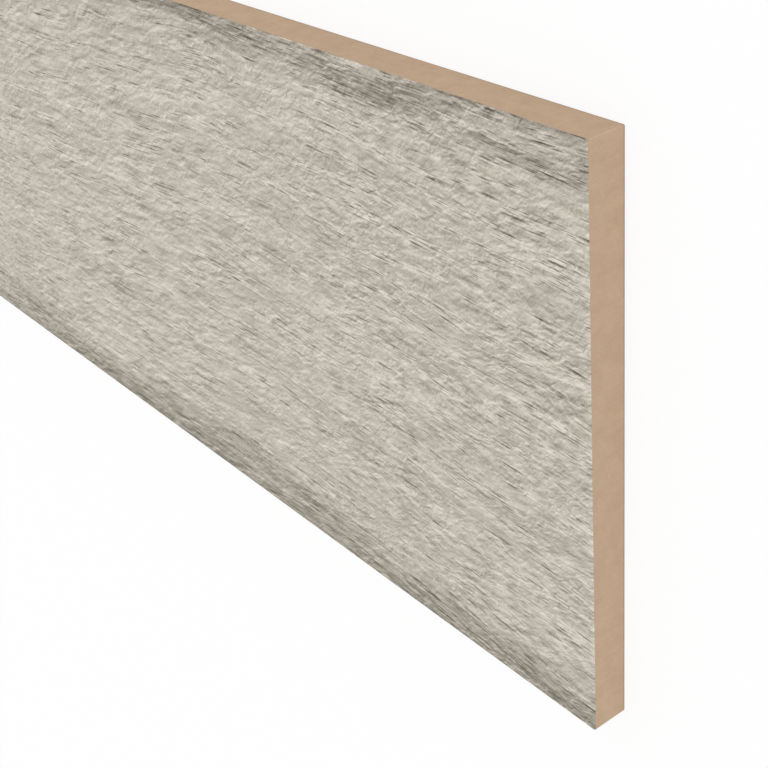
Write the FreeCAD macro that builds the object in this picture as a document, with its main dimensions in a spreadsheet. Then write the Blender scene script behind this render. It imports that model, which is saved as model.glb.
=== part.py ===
"""Stair riser board: a fibreboard core with a printed wood decor laminate on its face.

The board lies flat on its back. X runs along its length, Y across its height with +Y
towards the upper edge as fitted on a stair, and +Z out of the decor face. The origin is
at the middle of the back, on the surface that the board lies on. Sizes are millimetres.
"""
import FreeCAD
import Part
import Sketcher
import os

# Driving dimensions: alias, value, what it is
DRIVING_SIZES = (
    ("board_length", 1193.8, "length of the stock board, 47 in"),
    ("board_height", 187.3, "height of the riser that it covers, 7 3/8 in"),
    ("board_thickness", 12.7, "overall thickness with the laminate, 1/2 in"),
    ("decor_thickness", 0.3, "thickness of the printed laminate"),
    ("edge_ease", 0.4, "radius sanded on the board's corners and round its back"),
    ("face_ease", 0.1, "radius left round the laminate by the trimming cutter"),
)

# The core takes up the thickness that the laminate leaves, and the laminate lies on it.
CORE_THICKNESS = "sizes.board_thickness - sizes.decor_thickness"

FILE_FOLDER = "parts"


def add_size_sheet(doc):
    """Puts the driving dimensions in a sheet, one named cell each."""
    sheet = doc.addObject("Spreadsheet::Sheet", "sizes")
    for row, (alias, value, meaning) in enumerate(DRIVING_SIZES, start=1):
        sheet.set(f"A{row}", alias)
        sheet.set(f"B{row}", str(value))
        sheet.setAlias(f"B{row}", alias)
        sheet.set(f"C{row}", meaning)
    doc.recompute()


def add_outline_sketch(body, name):
    """Draws the board's outline, centred on the origin, on the body's XY plane."""
    plane = next(f for f in body.Origin.OriginFeatures if f.Role == "XY_Plane")
    sketch = body.newObject("Sketcher::SketchObject", name)
    sketch.AttachmentSupport = [(plane, "")]
    sketch.MapMode = "FlatFace"

    # A rough rectangle, which the constraints bring to size
    rough = [FreeCAD.Vector(x, y, 0) for x, y in ((-50, -10), (50, -10), (50, 10), (-50, 10))]
    for start, end in zip(rough, rough[1:] + rough[:1]):
        sketch.addGeometry(Part.LineSegment(start, end))
    lower, right, upper, left = range(4)
    start_point, end_point, origin = 1, 2, -1
    for side, following in ((lower, right), (right, upper), (upper, left), (left, lower)):
        joined = Sketcher.Constraint("Coincident", side, end_point, following, start_point)
        sketch.addConstraint(joined)
    for side in (lower, upper):
        sketch.addConstraint(Sketcher.Constraint("Horizontal", side))
    for side in (left, right):
        sketch.addConstraint(Sketcher.Constraint("Vertical", side))
    centred = Sketcher.Constraint(
        "Symmetric", lower, start_point, upper, start_point, origin, start_point
    )
    sketch.addConstraint(centred)

    for side, direction, size in (
        (lower, "DistanceX", "sizes.board_length"),
        (right, "DistanceY", "sizes.board_height"),
    ):
        rough_size = sketch.Geometry[side].length()
        index = sketch.addConstraint(
            Sketcher.Constraint(direction, side, start_point, side, end_point, rough_size)
        )
        sketch.setExpression(f"Constraints[{index}]", size)
    return sketch


def add_panel(doc, label, thickness):
    """Pads the board's outline to a thickness, and returns the body and its pad."""
    body = doc.addObject("PartDesign::Body", label)
    body.Label = label
    pad = body.newObject("PartDesign::Pad", f"{label}_pad")
    pad.Profile = add_outline_sketch(body, f"{label}_outline")
    pad.setExpression("Length", thickness)
    doc.recompute()
    return body, pad


def is_upright(edge, middle):
    """True for an edge along Z."""
    box = edge.BoundBox
    return box.ZLength > box.XLength + box.YLength


def is_at_back(edge, middle):
    """True for an edge that lies wholly behind the middle of its piece."""
    return edge.BoundBox.ZMax < middle.z


def is_at_face(edge, middle):
    """True for an edge that lies wholly in front of the middle of its piece."""
    return edge.BoundBox.ZMin > middle.z


def add_ease(doc, body, base, name, tests, radius):
    """Rounds the edges of a body's feature that pass any test, by a size from the sheet."""
    middle = base.Shape.BoundBox.Center
    edges = [
        f"Edge{i}" for i, edge in enumerate(base.Shape.Edges, start=1)
        if any(test(edge, middle) for test in tests)
    ]
    ease = body.newObject("PartDesign::Fillet", name)
    ease.Base = (base, edges)
    ease.setExpression("Radius", radius)
    doc.recompute()
    return ease


def add_fibreboard_core(doc):
    """The fibre board, sanded at its corners and round its back."""
    body, pad = add_panel(doc, "fibreboard_core", CORE_THICKNESS)
    add_ease(doc, body, pad, "core_ease", (is_upright, is_at_back), "sizes.edge_ease")
    return body


def add_decor_laminate(doc):
    """The printed laminate, on the front of the core and flush with its sides and corners."""
    body, pad = add_panel(doc, "decor_laminate", "sizes.decor_thickness")
    corners = add_ease(doc, body, pad, "decor_corners", (is_upright,), "sizes.edge_ease")
    add_ease(doc, body, corners, "decor_ease", (is_at_face,), "sizes.face_ease")
    body.setExpression("Placement.Base.z", CORE_THICKNESS)
    return body


def check_document(doc, bodies):
    """Stops if any object of the document failed, or a piece is not one valid solid."""
    doc.recompute()
    failed = [obj.Name for obj in doc.Objects if {"Invalid", "Error"} & set(obj.State)]
    if failed:
        raise RuntimeError(f"these objects failed: {failed}")
    for body in bodies:
        shape = body.Shape
        if shape.isNull() or not shape.isValid() or len(shape.Solids) != 1:
            raise RuntimeError(f"{body.Label} is not one valid solid")


def main():
    """Builds the board and writes each piece to its own file."""
    doc = FreeCAD.newDocument("riser_board")
    add_size_sheet(doc)
    bodies = (add_fibreboard_core(doc), add_decor_laminate(doc))
    check_document(doc, bodies)
    os.makedirs(FILE_FOLDER, exist_ok=True)
    for body in bodies:
        body.Shape.exportStep(f"{FILE_FOLDER}/{body.Label}.step")
        box = body.Shape.BoundBox
        print(f"{body.Label}: z {box.ZMin:.2f} to {box.ZMax:.2f}, volume {body.Shape.Volume:.0f} mm3")


main()
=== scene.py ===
"""Stair riser board: its finishes and fine relief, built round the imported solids.

The board lies on its back on a pale floor. A printed laminate with a pressed-in grain covers
its face, and bare fibreboard shows on its edges, its ends and its back. Everything is in
metres in the part's own frame: X along the board, +Y towards the upper edge as fitted on a
stair, and +Z out of the decor face.
"""

import logging
import math
from dataclasses import dataclass, field
from enum import Enum

import bmesh
import bpy
from mathutils import Matrix, Vector, noise


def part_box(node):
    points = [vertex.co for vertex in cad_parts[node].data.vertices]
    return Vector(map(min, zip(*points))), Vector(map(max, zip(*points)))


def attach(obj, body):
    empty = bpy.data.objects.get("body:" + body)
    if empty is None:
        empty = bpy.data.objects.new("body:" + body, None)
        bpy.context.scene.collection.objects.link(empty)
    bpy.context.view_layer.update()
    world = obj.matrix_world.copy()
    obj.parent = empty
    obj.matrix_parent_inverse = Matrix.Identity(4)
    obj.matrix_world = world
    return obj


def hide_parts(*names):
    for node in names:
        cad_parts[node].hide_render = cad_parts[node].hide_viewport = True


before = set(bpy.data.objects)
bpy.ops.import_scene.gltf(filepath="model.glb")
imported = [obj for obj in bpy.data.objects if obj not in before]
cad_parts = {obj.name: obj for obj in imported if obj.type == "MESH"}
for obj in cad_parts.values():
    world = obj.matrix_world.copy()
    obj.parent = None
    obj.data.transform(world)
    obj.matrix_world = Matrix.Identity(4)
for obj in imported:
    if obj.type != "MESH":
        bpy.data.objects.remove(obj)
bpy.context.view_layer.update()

MM = 0.001
BAKE_MAP = "OFBake"
PRESSED_LAYER = "pressed_grain"
LOG = logging.getLogger("riser_board")

WHITE = (1.0, 1.0, 1.0, 1.0)
QUARTER_TURN = math.radians(90)
# The middle of a range from 0 to 1, which noise swings about
MIDDLE = 0.5
# The strength of the faintest stroke of a print
FAINTEST_STROKE = 0.4
# Where a stroke's flank ends and starts, counted in half strokes from its middle
FLANK_REACH = (2.0, 0.5)

Socket = bpy.types.NodeSocket
Colour = tuple[float, float, float]


class Slot(Enum):
    """The record's material slots."""

    FIBREBOARD = "raw_fibreboard"
    DECOR = "grey_wood_decor"


class Node(Enum):
    """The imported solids."""

    CORE = "fibreboard_core"
    LAMINATE = "decor_laminate"


class Side(Enum):
    """The six ways that a face of the board can point."""

    FACE = (0, 0, 1)
    BACK = (0, 0, -1)
    UPPER_EDGE = (0, 1, 0)
    LOWER_EDGE = (0, -1, 0)
    RIGHT_END = (1, 0, 0)
    LEFT_END = (-1, 0, 0)


def shown_as(level: float) -> float:
    """The amount of light that a screen shows as a level from 0 to 1, by the sRGB curve."""
    return level / 12.92 if level <= 0.04045 else ((level + 0.055) / 1.055) ** 2.4


def tinted(level: float, fade: Colour) -> Colour:
    """The colour that shows as a level, with red, green and blue each faded from it."""
    return tuple(shown_as(level - step) for step in fade)


def eased(value: float, low: float, high: float) -> float:
    """A number brought smoothly from between two limits to between 0 and 1, and held there."""
    share = min(max((value - low) / (high - low), 0.0), 1.0)
    return share * share * (3.0 - 2.0 * share)


@dataclass(frozen=True)
class MarkSize:
    """The size of a pattern's marks along and across the grain.

    layers is how many finer layers lie on them, roughness is how strong those are, and stir is
    how far the marks are bent out of shape.
    """

    length: float
    height: float
    layers: float = 1.0
    roughness: float = 0.55
    stir: float = 0.0


@dataclass(frozen=True)
class EdgeBand:
    """A dark band along a long edge of the print.

    reach is how far it comes in, swing is how far that changes along the edge, and share is how
    much darker it is.
    """

    reach: float
    swing: float
    share: float


class ShaderTree:
    """Adds shader nodes to a material and links them."""

    def __init__(self, name: str) -> None:
        """Starts a material with one Principled shader.

        Args:
            name: the material's name.
        """
        self.material = bpy.data.materials.new(name)
        self.material.use_nodes = True
        self.nodes = self.material.node_tree.nodes
        self.links = self.material.node_tree.links
        self.shader = self.nodes["Principled BSDF"]

    def add(self, kind: str, **settings: object) -> bpy.types.Node:
        """Adds a node.

        Args:
            kind: Blender's name for the node type.
            settings: properties to set on the node.

        Returns:
            The new node.
        """
        node = self.nodes.new(kind)
        for name, value in settings.items():
            setattr(node, name, value)
        return node

    def put(self, socket: Socket, value: Socket | float | Vector | tuple) -> None:
        """Links a socket to another, or sets its own value.

        Args:
            socket: the input to fill.
            value: another node's output, or a constant.
        """
        if isinstance(value, bpy.types.NodeSocket):
            self.links.new(value, socket)
        else:
            socket.default_value = value

    def place(self) -> Socket:
        """The point on the piece, in the part's frame."""
        return self.add("ShaderNodeTexCoord").outputs["Object"]

    def layer(self, name: str) -> Socket:
        """A number that the mesh holds at each of its points."""
        return self.add("ShaderNodeAttribute", attribute_name=name).outputs["Fac"]

    def math(self, operation: str, first: Socket | float, second: Socket | float = 0.0) -> Socket:
        """One step of arithmetic on numbers.

        Args:
            operation: Blender's name for the step.
            first: the first number.
            second: the second number, where the step takes one.

        Returns:
            The outcome.
        """
        node = self.add("ShaderNodeMath", operation=operation)
        self.put(node.inputs[0], first)
        self.put(node.inputs[1], second)
        return node.outputs[0]

    def vector_math(self, operation: str, first: Socket, second: Socket | tuple) -> Socket:
        """One step of arithmetic on two vectors.

        Args:
            operation: Blender's name for the step.
            first: the first vector.
            second: the second vector.

        Returns:
            The outcome.
        """
        node = self.add("ShaderNodeVectorMath", operation=operation)
        self.put(node.inputs[0], first)
        self.put(node.inputs[1], second)
        return node.outputs[0]

    def turned(self, vector: Socket, angle: float) -> Socket:
        """A vector turned about Z.

        Args:
            vector: the vector.
            angle: how far, in radians.

        Returns:
            The turned vector.
        """
        node = self.add("ShaderNodeVectorRotate", rotation_type="Z_AXIS")
        self.put(node.inputs["Vector"], vector)
        self.put(node.inputs["Angle"], angle)
        return node.outputs[0]

    def part(self, vector: Socket, axis: str) -> Socket:
        """One coordinate of a vector.

        Args:
            vector: the vector.
            axis: X, Y or Z.

        Returns:
            The coordinate.
        """
        node = self.add("ShaderNodeSeparateXYZ")
        self.put(node.inputs[0], vector)
        return node.outputs[axis]

    def raised(self, vector: Socket, rise: Socket) -> Socket:
        """A place moved across the board.

        Args:
            vector: the place.
            rise: how far.

        Returns:
            The moved place.
        """
        node = self.add("ShaderNodeCombineXYZ")
        self.put(node.inputs["Y"], rise)
        return self.vector_math("ADD", vector, node.outputs[0])

    def in_marks(self, vector: Socket, size: MarkSize) -> Socket:
        """A place counted in marks of a size, along and across the grain."""
        return self.vector_math("DIVIDE", vector, (size.length, size.height, size.height))

    def noise(self, vector: Socket, size: MarkSize, output: str = "Fac", solid: bool = False) -> Socket:
        """Cloudy noise whose marks have a size of their own along and across the grain.

        Args:
            vector: the place to read it at.
            size: the size of its marks.
            output: Fac for a number about 0.5, Color for three of them.
            solid: True for marks that change with depth too.

        Returns:
            The noise.
        """
        node = self.add("ShaderNodeTexNoise", noise_dimensions="3D" if solid else "2D")
        self.put(node.inputs["Vector"], self.in_marks(vector, size))
        self.put(node.inputs["Scale"], 1.0)
        self.put(node.inputs["Detail"], size.layers)
        self.put(node.inputs["Roughness"], size.roughness)
        self.put(node.inputs["Distortion"], size.stir)
        return node.outputs[output]

    def swell(self, vector: Socket, size: MarkSize, solid: bool = False) -> Socket:
        """Cloudy noise as above, but about 0."""
        return self.math("SUBTRACT", self.noise(vector, size, solid=solid), MIDDLE)

    def strokes(
        self, vector: Socket, size: MarkSize, share: float, chance: Socket | float, flank: float = 0.0
    ) -> Socket:
        """Scattered short strokes along the grain, each with a strength of its own.

        Args:
            vector: the place to read them at.
            size: the room that each stroke has to itself.
            share: half the stroke's size, as a share of that room.
            chance: how many of the strokes are there, from 0 for none to 1 for all.
            flank: how strong the opposite tone along a stroke's sides is.

        Returns:
            Up to 1 in the middle of a stroke, falling below 0 at its flanks and to 0 outside them.
        """
        node = self.add("ShaderNodeTexVoronoi", voronoi_dimensions="2D")
        self.put(node.inputs["Vector"], self.in_marks(vector, size))
        self.put(node.inputs["Scale"], 1.0)
        distance = node.outputs["Distance"]
        stroke = self.between(distance, share, 0.0)
        if flank:
            beside = self.between(distance, *(share * reach for reach in FLANK_REACH))
            stroke = self.sum_of(0.0, [(stroke, 1.0 + flank), (beside, -flank)])
        draw = node.outputs["Color"]
        there = self.math("LESS_THAN", self.part(draw, "X"), chance)
        strength = self.sum_of(FAINTEST_STROKE, [(self.part(draw, "Y"), 1.0 - FAINTEST_STROKE)])
        return self.math("MULTIPLY", stroke, self.math("MULTIPLY", there, strength))

    def between(self, value: Socket, low: float, high: float) -> Socket:
        """A number brought smoothly from between two limits to between 0 and 1.

        Args:
            value: the number.
            low: the limit that gives 0.
            high: the limit that gives 1.

        Returns:
            The share.
        """
        node = self.add("ShaderNodeMapRange", interpolation_type="SMOOTHSTEP")
        self.put(node.inputs["Value"], value)
        self.put(node.inputs["From Min"], low)
        self.put(node.inputs["From Max"], high)
        return node.outputs[0]

    def sum_of(self, start: float, layers: list[tuple[Socket, float | Socket]]) -> Socket:
        """Layers added up, each by its own share.

        Args:
            start: the level that they are added to.
            layers: each layer with its share.

        Returns:
            The sum.
        """
        total = start
        for layer, share in layers:
            total = self.math("ADD", self.math("MULTIPLY", layer, share), total)
        return total

    def figured(self, figure: Socket, layers: list[tuple[Socket, tuple[float, float]]]) -> Socket:
        """Layers added up, each by a share that changes with the figure.

        Args:
            figure: how bold the figure is, from 0 to 1.
            layers: each layer with its shares where the figure is calm and where it is bold.

        Returns:
            The sum.
        """
        return self.sum_of(0.0, [
            (layer, self.sum_of(calm, [(figure, bold - calm)]))
            for layer, (calm, bold) in layers
        ])

    def ramp(self, value: Socket, stops: list[tuple[float, Colour]]) -> Socket:
        """A colour picked from a row of colours by a number from 0 to 1.

        Args:
            value: the number.
            stops: the row of colours, each with the number that it stands at.

        Returns:
            The colour.
        """
        node = self.add("ShaderNodeValToRGB")
        self.put(node.inputs[0], value)
        elements = node.color_ramp.elements
        while len(elements) < len(stops):
            elements.new(MIDDLE)
        for element, (position, colour) in zip(elements, stops):
            element.position = position
            element.color = (*colour, 1.0)
        return node.outputs["Color"]

    def bump(self, height: Socket, depth: float) -> Socket:
        """A normal bent by a relief.

        Args:
            height: the relief.
            depth: how far a relief of 1 stands out.

        Returns:
            The normal.
        """
        node = self.add("ShaderNodeBump")
        self.put(node.inputs["Strength"], 1.0)
        self.put(node.inputs["Distance"], depth)
        self.put(node.inputs["Height"], height)
        return node.outputs[0]

    def dress(self, **values: Socket | float | tuple) -> None:
        """Sets the shader's inputs by name, with _ for a space."""
        for name, value in values.items():
            self.put(self.shader.inputs[name.replace("_", " ")], value)


@dataclass(frozen=True)
class GrainFlow:
    """How bold the figure is at a place, and the place along each way that the marks run."""

    figure: Socket
    fine: Socket
    bold: Socket
    pores: Socket


@dataclass(frozen=True)
class DecorPrint:
    """The printed wood decor: pale grey brown, with ripples that carry painted light and shade, clouds,
    pores and dark long edges.

    A share is how far a layer moves the print's level, which goes from 0 for black to 1 for
    white. A pair of shares is for where the figure is calm and for where it is bold.
    """

    # The ground, how far its three colours lie below it, and how much duller its palest marks are
    base_level: float = 0.731
    fade: Colour = (0.0, 0.0255, 0.0745)
    dull: float = 1.3
    levels: tuple[float, ...] = (0.3, 0.5, 0.6, 0.7, 0.75, 0.8, 0.9)
    roughness: float = 0.55
    shine: float = 0.25

    # Gentle bends of the grain, and the figure that comes and goes along the board
    sway: MarkSize = MarkSize(60 * MM, 18 * MM, 0.0)
    sway_reach: tuple[float, float] = (10 * MM, 4.5 * MM)
    figure_length: float = 420 * MM
    figure_start: float = 340 * MM
    figure_lean: float = 3.2 * MM

    # Fine and bold ripples at a slope to the board, with painted light on the flanks that face the upper
    # edge and painted shade on the others, fainter in calm patches
    tilt: float = math.radians(20.0)
    ripple: MarkSize = MarkSize(3.0 * MM, 1.75 * MM, 2.0, 0.55, 0.4)
    ripple_shade_shares: tuple[float, float] = (0.43, 0.29)
    bold_tilt: float = math.radians(17.0)
    bold_ripple: MarkSize = MarkSize(10 * MM, 3.0 * MM, 1.5, 0.5, 0.3)
    bold_ripple_shade_shares: tuple[float, float] = (0.06, 0.3)
    shade_step: float = 0.3
    calm: MarkSize = MarkSize(25 * MM, 10 * MM)
    calm_limits: tuple[float, float] = (0.35, 0.6)
    calm_share: float = 0.62

    # Soft clouds, long patches and the finest fibres
    cloud: MarkSize = MarkSize(7 * MM, 2.4 * MM, 1.0)
    cloud_shares: tuple[float, float] = (0.23, 0.05)
    long_cloud: MarkSize = MarkSize(14 * MM, 2.3 * MM, 1.0)
    long_cloud_shares: tuple[float, float] = (0.0, 0.2)
    patch: MarkSize = MarkSize(90 * MM, 8 * MM, 1.5, 0.6)
    patch_share: float = 0.15
    fibre: MarkSize = MarkSize(1.0 * MM, 0.55 * MM, 2.0)
    fibre_share: float = 0.14

    # Rows of dark pores that the ripples break, with longer hairlines and smudges among them
    pore_tilt: float = math.radians(0.2)
    pores: tuple[MarkSize, ...] = (
        MarkSize(11 * MM, 1.0 * MM),
        MarkSize(17 * MM, 1.2 * MM),
        MarkSize(28 * MM, 2.4 * MM),
    )
    pore_breaks: tuple[float, float] = (0.28, 0.5)
    pore_half: float = 0.28
    pore_flank: float = 0.25
    pore_shares: tuple[float, float] = (0.31, 0.22)
    hairlines: tuple[MarkSize, ...] = (
        MarkSize(44 * MM, 1.2 * MM),
        MarkSize(70 * MM, 1.7 * MM),
    )
    hairline_shares: tuple[float, float] = (0.17, 0.22)
    cluster: MarkSize = MarkSize(40 * MM, 3.8 * MM, 1.0)
    cluster_limits: tuple[float, float] = (0.44, 0.6)
    smudge: MarkSize = MarkSize(32 * MM, 2.8 * MM)
    smudge_half: float = 0.42
    smudge_chance: float = 0.4
    smudge_share: float = 0.1

    # Ragged, streaky dark bands along the long edges
    band_streak: MarkSize = MarkSize(40 * MM, 2.4 * MM, 1.0)
    band_break: MarkSize = MarkSize(110 * MM, 14 * MM)
    band_start: tuple[float, float, float] = (0.21, 0.0, 0.0)
    upper_band: EdgeBand = EdgeBand(14 * MM, 27 * MM, 0.17)
    lower_band: EdgeBand = EdgeBand(22 * MM, 12 * MM, 0.165)

    # Painted shade in the pressed valleys, and a fine bump in which the pores lie deeper than the
    # ripples
    valley_shade_share: float = 0.08
    relief_depth: float = 0.05 * MM
    pore_depth: float = 1.5

    def material(self, half_height: float) -> bpy.types.Material:
        """Builds the laminate's material.

        Args:
            half_height: from the board's middle line to its long edges.

        Returns:
            The material.
        """
        tree = ShaderTree("grey_wood_decor_print")
        here = tree.place()
        flow = self.flow(tree, here)
        band = self.edge_bands(tree, here, flow.pores, half_height)
        crest = tree.noise(flow.fine, self.ripple)
        cloud = tree.figured(flow.figure, [
            (tree.swell(flow.pores, self.cloud), self.cloud_shares),
            (tree.swell(flow.pores, self.long_cloud), self.long_cloud_shares),
        ])
        pore = self.pore_rows(tree, flow, crest, band)
        smudge = tree.strokes(flow.pores, self.smudge, self.smudge_half, self.smudge_chance)
        level = tree.sum_of(self.base_level, [
            # painted light and shade on the ripples' flanks
            (self.ripple_light_and_shade(tree, flow), 1.0),
            (cloud, 1.0),
            (tree.swell(flow.fine, self.fibre), self.fibre_share),
            (pore, -1.0),
            (smudge, -self.smudge_share),
            (tree.swell(flow.pores, self.patch), self.patch_share),
            (band, -1.0),
            # painted shade in the pressed valleys
            (tree.layer(PRESSED_LAYER), -self.valley_shade_share),
        ])
        relief = tree.sum_of(0.0, [(crest, 1.0), (pore, -self.pore_depth)])
        tree.dress(
            Base_Color=tree.ramp(level, [(step, self.printed(step)) for step in self.levels]),
            Roughness=self.roughness,
            Specular_IOR_Level=self.shine,
            Normal=tree.bump(relief, self.relief_depth),
        )
        return tree.material

    def flow(self, tree: ShaderTree, here: Socket) -> GrainFlow:
        """Bends the straight lines of the board into the ways that the marks run.

        Args:
            tree: the material being made.
            here: the place on the board.

        Returns:
            The ways, and the figure.
        """
        turn = tree.sum_of(-math.tau * self.figure_start / self.figure_length, [
            (tree.part(here, "X"), math.tau / self.figure_length),
        ])
        lean = tree.math("MULTIPLY", tree.math("SINE", turn), -self.figure_lean)
        swept = tree.raised(here, lean)
        fine, bold, pores = (
            self.swayed(tree, tree.turned(swept, -tilt))
            for tilt in (self.tilt, self.bold_tilt, self.pore_tilt)
        )
        figure = tree.between(tree.math("COSINE", turn), -1.0, 1.0)
        return GrainFlow(figure, fine, bold, pores)

    def swayed(self, tree: ShaderTree, place: Socket) -> Socket:
        """A place moved to and fro, so that the grain runs in gentle bends.

        Args:
            tree: the material being made.
            place: the place, turned along the grain.

        Returns:
            The moved place.
        """
        drift = tree.noise(place, self.sway, "Color")
        drift = tree.vector_math("SUBTRACT", drift, (MIDDLE, MIDDLE, MIDDLE))
        drift = tree.vector_math("MULTIPLY", drift, (*self.sway_reach, 0.0))
        return tree.vector_math("ADD", place, drift)

    def ripple_light_and_shade(self, tree: ShaderTree, flow: GrainFlow) -> Socket:
        """The painted light and shade on the flanks of the fine and the bold ripples.

        Args:
            tree: the material being made.
            flow: the ways that the marks run.

        Returns:
            How much paler the print is where a flank is painted lit, and darker where it is painted in
            shade, about 0.
        """
        ripple = tree.figured(flow.figure, [
            (self.lit_and_shaded_flanks(tree, flow.fine, self.ripple), self.ripple_shade_shares),
            (self.lit_and_shaded_flanks(tree, flow.bold, self.bold_ripple), self.bold_ripple_shade_shares),
        ])
        lively = tree.between(tree.noise(flow.fine, self.calm), *self.calm_limits)
        strength = tree.sum_of(self.calm_share, [(lively, 1.0 - self.calm_share)])
        return tree.math("MULTIPLY", ripple, strength)

    def lit_and_shaded_flanks(self, tree: ShaderTree, place: Socket, size: MarkSize) -> Socket:
        """How far ripples fall from a place to one beside it, printed as painted light and shade so that
        they look lit from one side.
        """
        beside = tree.vector_math("ADD", place, (0, self.shade_step * size.height, 0))
        return tree.math("SUBTRACT", tree.noise(place, size), tree.noise(beside, size))

    def pore_rows(self, tree: ShaderTree, flow: GrainFlow, crest: Socket, band: Socket) -> Socket:
        """The rows of pores and the hairlines.

        Args:
            tree: the material being made.
            flow: the ways that the marks run.
            crest: the fine ripples, whose valleys break the pores.
            band: the dark bands, which are full of pores.

        Returns:
            How much darker the print is.
        """
        crowd = tree.between(tree.noise(flow.pores, self.cluster), *self.cluster_limits)
        crowd = tree.math("MAXIMUM", crowd, tree.between(band, 0.0, self.lower_band.share))
        pore, hairline = (
            tree.sum_of(0.0, [
                (tree.strokes(flow.pores, size, self.pore_half, crowd, self.pore_flank), 1.0)
                for size in sizes
            ])
            for sizes in (self.pores, self.hairlines)
        )
        broken = tree.math("MULTIPLY", pore, tree.between(crest, *self.pore_breaks))
        return tree.figured(flow.figure, [
            (broken, self.pore_shares),
            (hairline, self.hairline_shares),
        ])

    def edge_bands(self, tree: ShaderTree, here: Socket, flow: Socket, half_height: float) -> Socket:
        """The streaky dark bands along the board's two long edges.

        Args:
            tree: the material being made.
            here: the place on the board.
            flow: the place along the bent grain.
            half_height: from the board's middle line to its long edges.

        Returns:
            How much darker the print is, falling from the edges to 0 inside the bands.
        """
        height = tree.part(here, "Y")
        ragged = tree.swell(tree.vector_math("ADD", here, self.band_start), self.band_break)
        streak = tree.swell(flow, self.band_streak)
        bands = []
        for way, band in ((-1.0, self.upper_band), (1.0, self.lower_band)):
            inset = tree.sum_of(half_height, [(height, way), (ragged, band.swing), (streak, band.reach)])
            bands.append(tree.math("MULTIPLY", tree.between(inset, band.reach, 0.0), band.share))
        return tree.math("MAXIMUM", *bands)

    def printed(self, level: float) -> Colour:
        """The colour that shows as a level of the print, duller for its palest marks."""
        return tinted(level - self.dull * max(level - self.base_level, 0.0) ** 2, self.fade)


@dataclass(frozen=True)
class RawFibreboard:
    """Bare fibreboard: even tan, with a faint mottle of pressed fibres and fine saw marks."""

    # The ground, and how far its three colours lie below it
    base_level: float = 0.708
    fade: Colour = (0.0, 0.100, 0.200)
    levels: tuple[float, ...] = (0.5, 0.6, 0.7, 0.8, 0.9)
    roughness: float = 0.85
    shine: float = 0.2

    # Its marks, with the share of the level that each moves
    mottle: MarkSize = MarkSize(5 * MM, 5 * MM, 3.0, 0.6)
    mottle_share: float = 0.07
    speck: MarkSize = MarkSize(0.9 * MM, 0.5 * MM, 2.0, 0.6)
    speck_share: float = 0.05
    saw_mark: tuple[float, float, float] = (0.7 * MM, 0.7 * MM, 40 * MM)
    saw_share: float = 0.02

    # How far up from the back the fibreboard is darker, and by how much
    darker_back: float = 0.9 * MM
    darker_back_share: float = 0.14

    # A fine bump in which the saw marks are shallower than the fibres
    fibre_depth: float = 0.03 * MM
    saw_depth: float = 0.5

    def material(self) -> bpy.types.Material:
        """Builds the fibreboard's material.

        Returns:
            The material.
        """
        tree = ShaderTree("raw_fibreboard_core")
        here = tree.place()
        mottle = tree.swell(here, self.mottle, solid=True)
        speck = tree.swell(here, self.speck, solid=True)
        in_saw_marks = tree.vector_math("DIVIDE", here, self.saw_mark)
        saw = tree.swell(in_saw_marks, MarkSize(1.0, 1.0), solid=True)
        # darker towards the back, over its last 0.9 mm
        darker_back = tree.between(tree.part(here, "Z"), self.darker_back, 0.0)
        level = tree.sum_of(self.base_level, [
            (mottle, self.mottle_share),
            (speck, self.speck_share),
            (saw, self.saw_share),
            (darker_back, -self.darker_back_share),
        ])
        relief = tree.sum_of(0.0, [(speck, 1.0), (saw, self.saw_depth)])
        tree.dress(
            Base_Color=tree.ramp(level, [(step, tinted(step, self.fade)) for step in self.levels]),
            Roughness=self.roughness,
            Specular_IOR_Level=self.shine,
            Normal=tree.bump(relief, self.fibre_depth),
        )
        return tree.material


@dataclass(frozen=True)
class PressedGrain:
    """The wavy ripples pressed into the laminate, with calm patches between them.

    finer is how fast the ripples' finer layers fade, how much finer each is and how many there
    are. bend_layer and calm_layer keep the three patterns apart.
    """

    depth: float = 0.08 * MM
    tilt: float = math.radians(11.0)
    ripple: MarkSize = MarkSize(9 * MM, 2.6 * MM)
    finer: tuple[float, float, int] = (1.0, 2.0, 2)
    bend: MarkSize = MarkSize(30 * MM, 12 * MM)
    bend_layer: float = 7.0
    bend_reach: float = 3 * MM
    calm: MarkSize = MarkSize(40 * MM, 14 * MM)
    calm_layer: float = 13.0
    calm_limits: tuple[float, float] = (-0.3, 0.3)
    calm_share: float = 0.4
    rim_fade: float = 2 * MM

    def pressed(self, x: float, y: float) -> float:
        """How far the laminate is pressed in at a spot.

        Args:
            x: the spot's place along the board.
            y: its place across the board.

        Returns:
            From 0 at the crests to 1 in the deepest valleys.
        """
        along = x * math.cos(self.tilt) + y * math.sin(self.tilt)
        across = y * math.cos(self.tilt) - x * math.sin(self.tilt)
        across += self.bend_reach * noise.noise(self.spot(along, across, self.bend, self.bend_layer))
        wave = noise.fractal(self.spot(along, across, self.ripple), *self.finer)
        stir = noise.noise(self.spot(along, across, self.calm, self.calm_layer))
        strength = self.calm_share + (1.0 - self.calm_share) * eased(stir, *self.calm_limits)
        return min(max(MIDDLE + MIDDLE * wave * strength, 0.0), 1.0)

    def spot(self, along: float, across: float, size: MarkSize, layer: float = 0.0) -> Vector:
        """A spot counted in marks of a size, in a layer of its own."""
        return Vector((along / size.length, across / size.height, layer))


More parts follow.
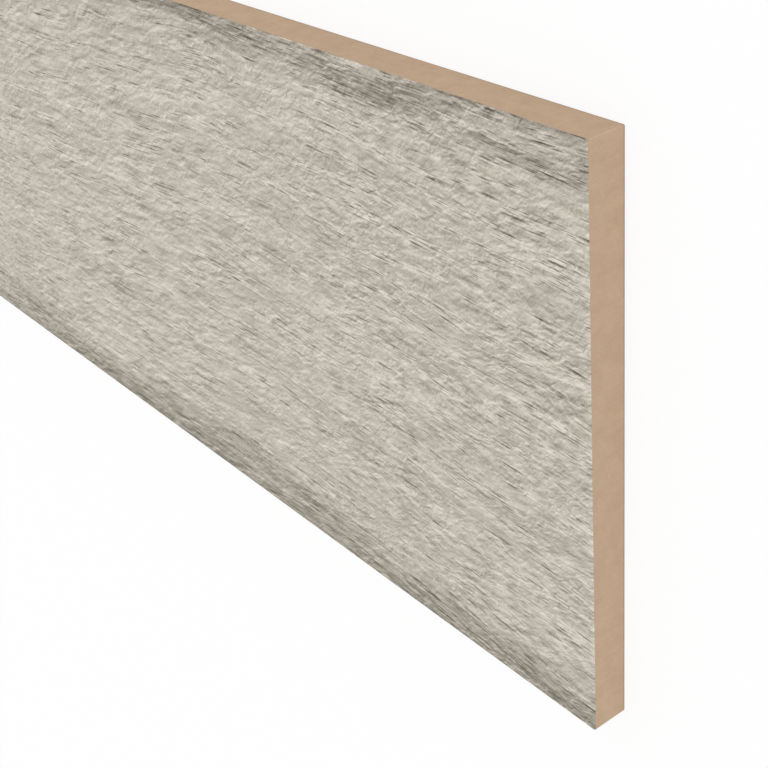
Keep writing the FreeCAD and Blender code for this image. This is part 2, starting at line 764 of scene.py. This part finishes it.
@dataclass(frozen=True)
class FlatMap:
    """How a piece's six sides lie on its square map, in rows from the bottom up."""

    rows: tuple[tuple[float, tuple[Side, ...]], ...]
    gap: float = 0.006

    def room(self, side: Side) -> tuple[Vector, Vector]:
        """The room that a side has on the map.

        Args:
            side: the side.

        Returns:
            The lowest corner and the size.
        """
        bottom = 0.0
        for height, sides in self.rows:
            if side in sides:
                width = 1.0 / len(sides)
                low = Vector((sides.index(side) * width + self.gap / 2, bottom + self.gap / 2))
                return low, Vector((width - self.gap, height - self.gap))
            bottom += height
        raise ValueError(f"{side} has no room on the map")

    def lay(self, shape: bmesh.types.BMesh, low: Vector, high: Vector) -> None:
        """Lays each face of a shape in the room of the side that it points to.

        Args:
            shape: the shape to map.
            low: its lowest corner.
            high: its highest corner.
        """
        layer = shape.loops.layers.uv.new(BAKE_MAP)
        rooms = {side: self.room(side) for side in Side}
        size = high - low
        for face in shape.faces:
            side = max(Side, key=lambda way: face.normal.dot(Vector(way.value)))
            flat_axes = [axis for axis in range(3) if not side.value[axis]]
            corner, span = rooms[side]
            for loop in face.loops:
                share = [(loop.vert.co[axis] - low[axis]) / size[axis] for axis in flat_axes]
                loop[layer].uv = (corner.x + share[0] * span.x, corner.y + share[1] * span.y)


@dataclass
class Panel:
    """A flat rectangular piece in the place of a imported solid."""

    node: Node
    slot: Slot
    name: str
    flat_map: FlatMap
    corner_ease: float = 0.4 * MM
    ease_steps: int = 4
    low: Vector = field(init=False)
    high: Vector = field(init=False)

    def __post_init__(self) -> None:
        """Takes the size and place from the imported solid."""
        self.low, self.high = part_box(self.node.value)

    @property
    def size(self) -> Vector:
        """The panel's length, height and thickness."""
        return self.high - self.low

    @property
    def middle(self) -> Vector:
        """The panel's middle point."""
        return (self.high + self.low) / 2

    def set_in_place(self, shape: bmesh.types.BMesh, material: bpy.types.Material) -> bpy.types.Object:
        """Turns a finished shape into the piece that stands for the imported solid.

        Args:
            shape: the shape, in the part's frame. It is freed.
            material: what it is dressed in.

        Returns:
            The piece.
        """
        bmesh.ops.recalc_face_normals(shape, faces=shape.faces)
        put_in_order(shape)
        self.flat_map.lay(shape, self.low, self.high)
        piece = new_object(shape, self.name, material)
        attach(piece, "root")
        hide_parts(self.node.value)
        return piece


@dataclass
class CoreBoard(Panel):
    """The fibreboard core, sawn square and sanded at its corners and round its back."""

    node: Node = Node.CORE
    slot: Slot = Slot.FIBREBOARD
    name: str = "core_board"
    flat_map: FlatMap = FlatMap((
        (0.26, (Side.BACK,)),
        (0.04, (Side.FACE,)),
        (0.22, (Side.LOWER_EDGE,)),
        (0.22, (Side.UPPER_EDGE,)),
        (0.13, (Side.LEFT_END,)),
        (0.13, (Side.RIGHT_END,)),
    ))
    finish: RawFibreboard = RawFibreboard()

    def build(self) -> bpy.types.Object:
        """Makes the core and dresses it.

        Returns:
            The piece.
        """
        shape = bmesh.new()
        block = Matrix.Translation(self.middle) @ Matrix.Diagonal((*self.size, 1.0))
        bmesh.ops.create_cube(shape, size=1.0, matrix=block)
        sanded_edges = [edge for edge in shape.edges if self.is_sanded(edge)]
        rounded = bmesh.ops.bevel(
            shape, geom=sanded_edges, offset=self.corner_ease, affect="EDGES",
            segments=self.ease_steps, profile=0.5, material=-1,
        )
        for face in rounded["faces"]:
            face.smooth = True
        return self.set_in_place(shape, self.finish.material())

    def is_sanded(self, edge: bmesh.types.BMEdge) -> bool:
        """True for an upright edge and for one round the back."""
        return any(vert.co.z < self.middle.z for vert in edge.verts)


@dataclass
class DecorSheet(Panel):
    """The printed laminate: a thin sheet with its grain pressed in and its rim eased."""

    node: Node = Node.LAMINATE
    slot: Slot = Slot.DECOR
    name: str = "decor_sheet"
    flat_map: FlatMap = FlatMap((
        (0.90, (Side.FACE,)),
        (0.04, (Side.BACK,)),
        (0.02, (Side.LOWER_EDGE,)),
        (0.02, (Side.UPPER_EDGE,)),
        (0.02, (Side.LEFT_END, Side.RIGHT_END)),
    ))
    face_ease: float = 0.1 * MM
    face_cells: tuple[int, int] = (366, 244)
    cells_per_back_cell: int = 6
    back_inset: float = 6 * MM
    grain: PressedGrain = PressedGrain()
    finish: DecorPrint = DecorPrint()

    def build(self) -> bpy.types.Object:
        """Makes the sheet and dresses it.

        Returns:
            The piece.
        """
        shape = bmesh.new()
        self.add_face(shape)
        self.press_grain(shape)
        wall = self.add_rim(shape)
        self.close_back(shape, wall)
        return self.set_in_place(shape, self.finish.material(self.size.y / 2))

    def add_grid(
        self, shape: bmesh.types.BMesh, cells: tuple[int, int], inset: float, height: float
    ) -> list[bmesh.types.BMVert]:
        """Adds a flat grid that is smaller than the sheet all round.

        Args:
            shape: the shape that it goes into.
            cells: how many cells it has along and across the board.
            inset: how far inside the sheet's outline it ends.
            height: the height that it lies at.

        Returns:
            Its points.
        """
        span = self.size - 2 * Vector((inset, inset, 0))
        flat = Matrix.Translation((*self.middle.xy, height))
        flat = flat @ Matrix.Diagonal((span.x, span.y, 1.0, 1.0))
        columns, rows = cells
        # The operator's size is half a side, so this grid's sides are 1 before the matrix
        grid = bmesh.ops.create_grid(shape, x_segments=columns, y_segments=rows, size=0.5, matrix=flat)
        return grid["verts"]

    def add_face(self, shape: bmesh.types.BMesh) -> None:
        """Adds the face as a fine grid that ends where its rim starts to bend, with round corners.

        Args:
            shape: the shape that it goes into.
        """
        verts = self.add_grid(shape, self.face_cells, self.face_ease, self.high.z)
        corners = [vert for vert in verts if len(vert.link_edges) == 2]
        bmesh.ops.bevel(
            shape, geom=corners, offset=self.corner_ease - self.face_ease, affect="VERTICES",
            segments=self.ease_steps, profile=0.5, material=-1,
        )

    def press_grain(self, shape: bmesh.types.BMesh) -> None:
        """Presses the grain into the face, and notes how far at each point, for the print's painted
        shade in the valleys.

        Args:
            shape: the shape that holds the face.
        """
        layer = shape.verts.layers.float.new(PRESSED_LAYER)
        for vert in shape.verts:
            x, y = (vert.co - self.middle).xy
            inset = min(self.size.x / 2 - abs(x), self.size.y / 2 - abs(y))
            fade = eased(inset, self.face_ease, self.grain.rim_fade)
            pressed = self.grain.pressed(x, y)
            vert[layer] = (pressed - MIDDLE) * fade
            vert.co.z -= self.grain.depth * pressed * fade
        for face in shape.faces:
            face.smooth = True

    def add_rim(self, shape: bmesh.types.BMesh) -> list[bmesh.types.BMEdge]:
        """Rounds the face over to the sheet's sides and takes them down to its back.

        Args:
            shape: the shape that holds the face.

        Returns:
            The edges at the foot of the sides.
        """
        edges = [edge for edge in shape.edges if edge.is_boundary]
        for step in range(1, self.ease_steps + 1):
            turn = QUARTER_TURN * step / self.ease_steps
            last_turn = QUARTER_TURN * (step - 1) / self.ease_steps
            verts, edges = self.pulled_out(shape, edges)
            for vert in verts:
                vert.co += self.outwards(vert) * self.face_ease * (math.sin(turn) - math.sin(last_turn))
                vert.co.z = self.high.z - self.face_ease * (1.0 - math.cos(turn))
            for face in {face for vert in verts for face in vert.link_faces}:
                face.smooth = True
        verts, edges = self.pulled_out(shape, edges)
        for vert in verts:
            vert.co.z = self.low.z
        return edges

    def pulled_out(
        self, shape: bmesh.types.BMesh, edges: list[bmesh.types.BMEdge]
    ) -> tuple[list[bmesh.types.BMVert], list[bmesh.types.BMEdge]]:
        """Extrudes open edges.

        Args:
            shape: the shape that holds them.
            edges: the open edges.

        Returns:
            The new points, and the new open edges.
        """
        made = bmesh.ops.extrude_edge_only(shape, edges=edges)["geom"]
        verts = [item for item in made if isinstance(item, bmesh.types.BMVert)]
        open_edges = [item for item in made if isinstance(item, bmesh.types.BMEdge) and item.is_boundary]
        return verts, open_edges

    def outwards(self, vert: bmesh.types.BMVert) -> Vector:
        """The way out of the sheet, square to its outline.

        Args:
            vert: a point near the outline.

        Returns:
            The way, of length 1.
        """
        offset = vert.co - self.middle
        reach = self.size / 2 - Vector((self.corner_ease, self.corner_ease, 0))
        inner = Vector((
            min(max(offset.x, -reach.x), reach.x),
            min(max(offset.y, -reach.y), reach.y),
            offset.z,
        ))
        return (offset - inner).normalized()

    def close_back(self, shape: bmesh.types.BMesh, wall: list[bmesh.types.BMEdge]) -> None:
        """Closes the back with a coarser grid.

        Args:
            shape: the shape to close.
            wall: the edges at the foot of its sides.
        """
        columns, rows = (count // self.cells_per_back_cell for count in self.face_cells)
        verts = self.add_grid(shape, (columns, rows), self.back_inset, self.low.z)
        rim = dict.fromkeys(edge for vert in verts for edge in vert.link_edges if edge.is_boundary)
        bmesh.ops.bridge_loops(shape, edges=[*wall, *rim])


def put_in_order(shape: bmesh.types.BMesh) -> None:
    """Sorts a shape's faces by place, because extruding leaves them in another order each run.

    Args:
        shape: the shape.
    """
    in_order = sorted(shape.faces, key=lambda face: tuple(face.calc_center_median()))
    ranks = {face: rank for rank, face in enumerate(in_order)}
    shape.faces.sort(key=ranks.get)


def new_object(
    shape: bmesh.types.BMesh, name: str, material: bpy.types.Material
) -> bpy.types.Object:
    """Turns a finished shape into an object of the scene.

    Args:
        shape: the shape, in the part's frame. It is freed.
        name: the object's name.
        material: what it is dressed in.

    Returns:
        The object.
    """
    mesh = bpy.data.meshes.new(name)
    shape.to_mesh(mesh)
    shape.free()
    mesh.materials.append(material)
    made = bpy.data.objects.new(name, mesh)
    bpy.context.scene.collection.objects.link(made)
    return made


@dataclass
class Studio:
    """A pale floor, soft light all round and the camera at the photograph's angle."""

    floor_side: float = 8.0
    floor_albedo: float = 0.95
    floor_glow: float = 0.75
    world_level: float = 0.65
    key_level: float = 1.65
    key_angle: float = math.radians(40)
    key_way: Vector = field(default_factory=lambda: Vector((0.53, 0.45, 0.71)))
    camera_place: Vector = field(default_factory=lambda: Vector((0.82258, 0.21991, 0.23736)))
    camera_aim: Vector = field(default_factory=lambda: Vector((0.50611, -0.01060, 0.0127)))
    camera_roll: float = math.radians(5.652)
    lens: float = 67.53
    film_width: float = 36.0
    nearest_seen: float = 0.01

    def build(self) -> None:
        """Makes the floor, the light and the camera."""
        self.add_floor()
        self.add_surround()
        self.add_key()
        self.add_camera()
        bpy.context.scene.view_settings.view_transform = "Standard"

    def seen_directly(self, nodes: bpy.types.Nodes, links: bpy.types.NodeLinks) -> Socket:
        """Tells what is looked at, also in a mirror or through glass, from what only gives light.

        Args:
            nodes: the node tree's nodes.
            links: its links.

        Returns:
            1 for what is looked at, and 0 for what only gives light.
        """
        path = nodes.new("ShaderNodeLightPath")
        seen = path.outputs["Is Camera Ray"]
        for kind in ("Is Glossy Ray", "Is Transmission Ray"):
            either = nodes.new("ShaderNodeMath")
            either.operation = "MAXIMUM"
            links.new(seen, either.inputs[0])
            links.new(path.outputs[kind], either.inputs[1])
            seen = either.outputs[0]
        return seen

    def add_floor(self) -> None:
        """A plain white floor that keeps the board's shadow."""
        shape = bmesh.new()
        bmesh.ops.create_grid(shape, x_segments=1, y_segments=1, size=self.floor_side / 2)
        tree = ShaderTree("studio_floor")
        tree.dress(Base_Color=(*[self.floor_albedo] * 3, 1.0), Roughness=1.0, Specular_IOR_Level=0.0)
        white = tree.add("ShaderNodeEmission")
        share = tree.math("MULTIPLY", self.seen_directly(tree.nodes, tree.links), self.floor_glow)
        mixed = tree.add("ShaderNodeMixShader")
        tree.put(mixed.inputs[0], share)
        tree.put(mixed.inputs[1], tree.shader.outputs[0])
        tree.put(mixed.inputs[2], white.outputs[0])
        tree.put(tree.nodes["Material Output"].inputs["Surface"], mixed.outputs[0])
        new_object(shape, "studio_floor", tree.material)

    def add_surround(self) -> None:
        """An even pale surround, white where it is looked at."""
        world = bpy.data.worlds.new("studio_surround")
        bpy.context.scene.world = world
        world.use_nodes = True
        nodes, links = world.node_tree.nodes, world.node_tree.links
        background = nodes["Background"]
        background.inputs["Color"].default_value = WHITE
        strength = nodes.new("ShaderNodeMapRange")
        strength.inputs["To Min"].default_value = self.world_level
        strength.inputs["To Max"].default_value = 1.0
        links.new(self.seen_directly(nodes, links), strength.inputs["Value"])
        links.new(strength.outputs[0], background.inputs["Strength"])

    def add_key(self) -> None:
        """One large soft lamp from above the upper right corner."""
        lamp = bpy.data.lights.new("soft_key", "SUN")
        lamp.energy = self.key_level
        lamp.angle = self.key_angle
        key = bpy.data.objects.new("soft_key", lamp)
        key.rotation_mode = "QUATERNION"
        key.rotation_quaternion = self.key_way.to_track_quat("Z", "Y")
        bpy.context.scene.collection.objects.link(key)

    def add_camera(self) -> None:
        """The camera, turned so that the board's upper edge is at the top of the picture."""
        forward = (self.camera_aim - self.camera_place).normalized()
        right = forward.cross(Vector(Side.UPPER_EDGE.value)).normalized()
        above = right.cross(forward)
        turn = Matrix((right, above, -forward)).transposed()
        turn = turn @ Matrix.Rotation(-self.camera_roll, 3, "Z")
        data = bpy.data.cameras.new("photo_camera")
        data.lens = self.lens
        data.sensor_width = self.film_width
        data.clip_start = self.nearest_seen
        camera = bpy.data.objects.new("photo_camera", data)
        camera.matrix_world = Matrix.Translation(self.camera_place) @ turn.to_4x4()
        bpy.context.scene.collection.objects.link(camera)
        bpy.context.scene.camera = camera


def main() -> None:
    """Builds the studio and then the board's pieces, and reports each piece."""
    logging.basicConfig(level=logging.INFO, format="%(message)s")
    Studio().build()
    for panel in (CoreBoard(), DecorSheet()):
        mesh = panel.build().data
        mesh.calc_loop_triangles()
        LOG.info("%s: %d triangles for %s", panel.name, len(mesh.loop_triangles), panel.node.value)


if __name__ == "__main__":
    main()
